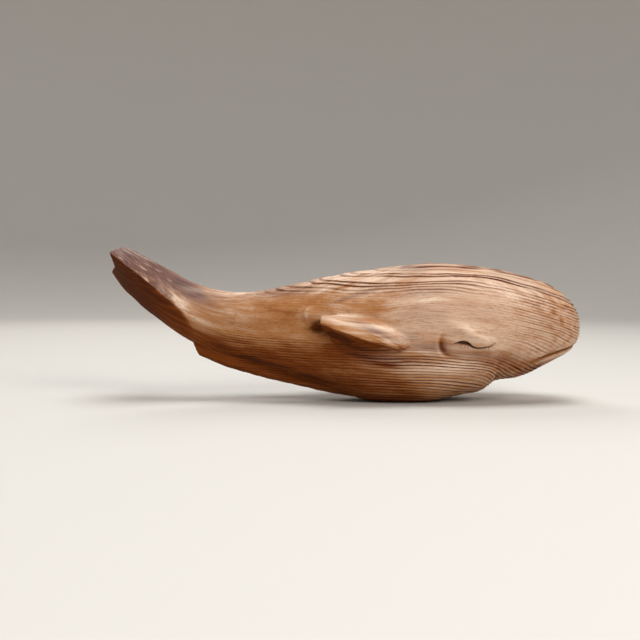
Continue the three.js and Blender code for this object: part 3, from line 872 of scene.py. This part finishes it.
def floor():
    """A pale floor that sweeps up all round: radius and height of its profile, in metres."""
    flat, sweep, top = 1.3, 0.9, 3.0
    profile = [(0.25, 0.0), (0.7, 0.0)]
    for turn in np.linspace(0, np.pi / 2, 16):
        profile.append((flat + sweep * math.sin(turn), sweep - sweep * math.cos(turn)))
    profile.append((flat + sweep, top))
    shell = bmesh.new()
    sides = 72
    angles = np.linspace(0, 2 * np.pi, sides, endpoint=False)
    rings = [
        [shell.verts.new((radius * math.cos(a), radius * math.sin(a), z)) for a in angles]
        for radius, z in profile
    ]
    shell.faces.new(rings[0])
    for low, high in zip(rings, rings[1:]):
        for k in range(sides):
            after = (k + 1) % sides
            shell.faces.new((low[k], high[k], high[after], low[after]))
    bmesh.ops.recalc_face_normals(shell, faces=shell.faces)
    bmesh.ops.reverse_faces(shell, faces=shell.faces)
    mesh = bpy.data.meshes.new("floor")
    shell.to_mesh(mesh)
    shell.free()
    mesh.shade_smooth()
    material = bpy.data.materials.new("pale floor")
    material.use_nodes = True
    shader = material.node_tree.nodes["Principled BSDF"]
    shader.inputs["Base Color"].default_value = (0.58, 0.55, 0.51, 1)
    shader.inputs["Roughness"].default_value = 0.85
    shader.inputs["Specular IOR Level"].default_value = 0.2
    mesh.materials.append(material)
    ground = bpy.data.objects.new("floor", mesh)
    bpy.context.scene.collection.objects.link(ground)


def lights():
    """Three soft lamps and a faint sky: name, place, size in metres, watts and colour."""
    lamps = (
        ("window", (0.62, -0.98, 0.72), 0.6, 11.5, (1.0, 0.98, 0.95)),
        ("sky", (0.1, -0.15, 1.5), 0.9, 20, (0.95, 0.98, 1.0)),
        ("back", (-0.35, 0.95, 1.0), 0.8, 8, (1.0, 0.99, 0.97)),
    )
    for name, place, size, power, colour in lamps:
        data = bpy.data.lights.new(name, "AREA")
        data.size = size
        data.energy = power
        data.color = colour
        lamp = bpy.data.objects.new(name, data)
        lamp.location = place
        aim = Vector((0, 0, 0.04)) - lamp.location
        lamp.rotation_euler = aim.to_track_quat("-Z", "Y").to_euler()
        bpy.context.scene.collection.objects.link(lamp)
    world = bpy.data.worlds.new("studio")
    world.use_nodes = True
    background = world.node_tree.nodes["Background"]
    background.inputs["Color"].default_value = (0.93, 0.95, 1.0, 1)
    background.inputs["Strength"].default_value = 0.2
    bpy.context.scene.world = world
    bpy.context.scene.view_settings.view_transform = "Standard"


class Nodes:
    """Short forms for the nodes of one material."""

    def __init__(self, material):
        material.use_nodes = True
        self.tree = material.node_tree
        self.shader = self.tree.nodes["Principled BSDF"]

    def add(self, kind, inputs, **settings):
        node = self.tree.nodes.new(kind)
        for name, value in settings.items():
            setattr(node, name, value)
        for socket, value in inputs.items():
            if isinstance(value, bpy.types.NodeSocket):
                self.tree.links.new(value, node.inputs[socket])
            else:
                node.inputs[socket].default_value = value
        return node

    def attribute(self, name, output="Fac"):
        return self.add("ShaderNodeAttribute", {}, attribute_name=name).outputs[output]

    def math(self, operation, a, b=0.0, clamp=False):
        return self.add("ShaderNodeMath", {0: a, 1: b}, operation=operation, use_clamp=clamp).outputs[0]

    def fade(self, value, start, end, low=0.0, high=1.0):
        """From low where the value is start to high where it is end, smoothly."""
        inputs = {"Value": value, "From Min": start, "From Max": end, "To Min": low, "To Max": high}
        return self.add("ShaderNodeMapRange", inputs, interpolation_type="SMOOTHSTEP").outputs["Result"]

    def noise(self, vector, stretch, detail=2.0, roughness=0.5):
        """Smooth noise, with so many features in a unit of each axis."""
        scaled = self.add("ShaderNodeVectorMath", {0: vector, 1: stretch}, operation="MULTIPLY").outputs[0]
        inputs = {"Vector": scaled, "Scale": 1.0, "Detail": detail, "Roughness": roughness}
        return self.add("ShaderNodeTexNoise", inputs).outputs["Fac"]

    def tint(self, share, colour, tint):
        return self.blend(share, colour, tint, "MULTIPLY")

    def blend(self, share, a, b, kind="MIX"):
        node = self.add("ShaderNodeMix", {"Factor": share}, data_type="RGBA", blend_type=kind)
        for socket, value in ((6, a), (7, b)):
            if isinstance(value, bpy.types.NodeSocket):
                self.tree.links.new(value, node.inputs[socket])
            else:
                node.inputs[socket].default_value = (*value, 1)
        return node.outputs[2]


# Colours of the oiled wood: four depths of colour, the deeper ones also used for painted shade, two kinds
# of patches, the pale one also for painted highlights, and the tints of the late wood, the fibres, the
# pores and the painted shade in the cuts
PALE = (0.55, 0.362, 0.25)
ORANGE = (0.36, 0.155, 0.055)
UMBER = (0.175, 0.042, 0.005)
BURNT = (0.075, 0.018, 0.004)
CREAM = (0.76, 0.585, 0.45)
PLUM = (0.125, 0.066, 0.060)
LATE_TINT = (0.19, 0.05, 0.016)
FIBRE_TINT = (0.66, 0.53, 0.45)
PORE_TINT = (0.42, 0.28, 0.21)
CUT_SHADE_TINT = (0.13, 0.055, 0.032)


def oiled_wood():
    """The carving's wood, from the values that the mesh keeps at its points."""
    material = bpy.data.materials.new("oiled softwood")
    nodes = Nodes(material)
    grain = nodes.attribute("grain", "Vector")
    rings = nodes.attribute("rings")
    dirt = nodes.attribute("dirt")
    mauve = nodes.attribute("mauve")
    cream_and_highlight = nodes.attribute("cream_and_highlight")
    depth = nodes.attribute("tone_and_shade")

    # The rings: dark late wood that ends sharply, each ring a little different
    parted = nodes.add("ShaderNodeSeparateXYZ", {0: grain}).outputs
    place = nodes.math("FRACT", parted["Z"])
    number = nodes.math("FLOOR", parted["Z"])
    chance = nodes.add("ShaderNodeTexWhiteNoise", {"W": number}, noise_dimensions="1D").outputs["Value"]
    late = nodes.math("MULTIPLY", nodes.fade(place, 0.52, 0.8), nodes.fade(place, 1.0, 0.95))
    late = nodes.math("MULTIPLY", late, nodes.fade(chance, 0.0, 0.8, 0.24, 1.0))
    broken = nodes.noise(grain, (0.04, 0.12, 0.7), 3.0)
    late = nodes.math("MULTIPLY", late, nodes.fade(broken, 0.3, 0.55, 0.35, 1.0))
    line = nodes.math("MULTIPLY", late, nodes.fade(rings, 0.0, 1.2, 0.06, 2.0), clamp=True)

    # Fibres, pores and slow changes of colour along the grain
    fibre = nodes.noise(grain, (0.09, 1.5, 3.0), 4.0, 0.6)
    streak = nodes.noise(grain, (0.025, 0.3, 0.5), 3.0)
    dash = nodes.fade(nodes.noise(grain, (0.35, 1.8, 3.6), 2.0), 0.6, 0.72)
    depth = nodes.math("ADD", depth, nodes.fade(streak, 0.25, 0.75, -0.18, 0.18))

    # The wood deepens towards the late wood, and by depth, painted shade included, from pale to burnt
    warm = nodes.math("MULTIPLY", nodes.fade(place, 0.1, 0.7), nodes.fade(place, 1.0, 0.9))
    warm = nodes.math("MULTIPLY", warm, nodes.fade(rings, 0.1, 1.2, 0.0, 0.42))
    depth = nodes.math("ADD", depth, warm)
    colour = nodes.blend(nodes.fade(depth, 0.0, 0.5), PALE, ORANGE)
    colour = nodes.blend(nodes.fade(depth, 0.5, 1.0), colour, UMBER)
    colour = nodes.blend(nodes.fade(depth, 1.0, 1.4), colour, BURNT)

    # Patches of mauve and of pale wood with painted highlights, then all that darkens the wood, painted
    # shade in the cuts included
    veil = nodes.noise(grain, (0.05, 0.35, 0.8), 3.0)
    mauve = nodes.math("MULTIPLY", mauve, nodes.fade(veil, 0.36, 0.56, 0.75, 1.0))
    cream_and_highlight = nodes.math("MULTIPLY", cream_and_highlight, nodes.fade(streak, 0.75, 0.35))
    colour = nodes.blend(mauve, colour, PLUM)
    colour = nodes.blend(cream_and_highlight, colour, CREAM)
    colour = nodes.tint(nodes.fade(fibre, 0.42, 0.78, 0.0, 0.8), colour, FIBRE_TINT)
    colour = nodes.tint(line, colour, LATE_TINT)
    colour = nodes.tint(nodes.math("MULTIPLY", dash, 0.5), colour, PORE_TINT)
    colour = nodes.tint(dirt, colour, CUT_SHADE_TINT)
    nodes.tree.links.new(colour, nodes.shader.inputs["Base Color"])

    # Satin finish, duller in the early wood, the cuts and the dark parts
    rough = nodes.fade(fibre, 0.3, 0.7, 0.38, 0.52)
    rough = nodes.math("SUBTRACT", rough, nodes.math("MULTIPLY", line, 0.08))
    rough = nodes.math("ADD", rough, nodes.math("MULTIPLY", dirt, 0.25))
    rough = nodes.math("ADD", rough, nodes.fade(depth, 0.6, 1.3, 0.0, 0.4), clamp=True)
    nodes.tree.links.new(rough, nodes.shader.inputs["Roughness"])
    nodes.shader.inputs["Specular IOR Level"].default_value = 0.08

    # Fine relief in tenths of a millimetre: rings, fibres and pores
    height = nodes.math("MULTIPLY", line, 0.8)
    height = nodes.math("ADD", height, nodes.math("MULTIPLY", fibre, 0.5))
    height = nodes.math("SUBTRACT", height, nodes.math("MULTIPLY", dash, 0.4))
    bump = nodes.add("ShaderNodeBump", {"Height": height, "Distance": 0.0001, "Strength": 1.0})
    nodes.tree.links.new(bump.outputs["Normal"], nodes.shader.inputs["Normal"])
    return material


camera()
floor()
lights()
whale = carved_whale()
whale.data.materials.clear()
whale.data.materials.append(oiled_wood())
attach(whale, "root")
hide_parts("whale_carving")
